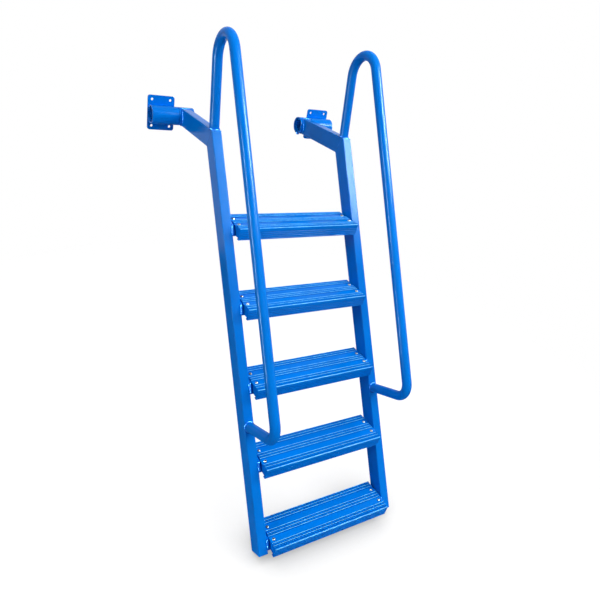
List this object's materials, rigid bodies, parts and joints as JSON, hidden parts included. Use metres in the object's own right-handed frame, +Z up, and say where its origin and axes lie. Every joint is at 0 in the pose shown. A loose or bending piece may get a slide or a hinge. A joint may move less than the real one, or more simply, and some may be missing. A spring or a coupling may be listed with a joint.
{
  "type": "dock ladder",
  "caption": "Blue swing-up dock ladder with leaning box-section stringers, wide ribbed steps, tall bent handrails and two bolt-on hinge plates.",
  "frame": {"origin": "centre of the left mounting plate's back face, on the hinge axis height", "axes": "+Z up, +Y out of the plates' back faces into the dock, +X across the ladder from the left plate to the right plate"},
  "size_m": [0.8826, 1.2863, 1.7454],
  "materials": {
    "blue_powder_coat": "gloss"
  },
  "bodies": {
    "dock_brackets": {"left_mounting_plate": "blue_powder_coat", "left_plate_sleeve": "blue_powder_coat", "right_mounting_plate": "blue_powder_coat", "right_plate_sleeve": "blue_powder_coat"},
    "ladder": {"left_stringer": "blue_powder_coat", "left_arm": "blue_powder_coat", "left_handrail": "blue_powder_coat", "left_arm_barrel": "blue_powder_coat", "left_pivot_tube": "blue_powder_coat", "right_stringer": "blue_powder_coat", "right_arm": "blue_powder_coat", "right_handrail": "blue_powder_coat", "right_arm_barrel": "blue_powder_coat", "right_pivot_tube": "blue_powder_coat", "tread_1": "blue_powder_coat", "left_tread_bracket_1": "blue_powder_coat", "right_tread_bracket_1": "blue_powder_coat", "tread_2": "blue_powder_coat", "left_tread_bracket_2": "blue_powder_coat", "right_tread_bracket_2": "blue_powder_coat", "tread_3": "blue_powder_coat", "left_tread_bracket_3": "blue_powder_coat", "right_tread_bracket_3": "blue_powder_coat", "tread_4": "blue_powder_coat", "left_tread_bracket_4": "blue_powder_coat", "right_tread_bracket_4": "blue_powder_coat", "tread_5": "blue_powder_coat", "left_tread_bracket_5": "blue_powder_coat", "right_tread_bracket_5": "blue_powder_coat"}
  },
  "joints": [
    {"name": "swing_up", "type": "hinge", "parent": "dock_brackets", "child": "ladder", "pos_m": [0.3853, -0.0429, 0], "axis": [-1, 0, 0], "range_deg": [0, 125]}
  ]
}
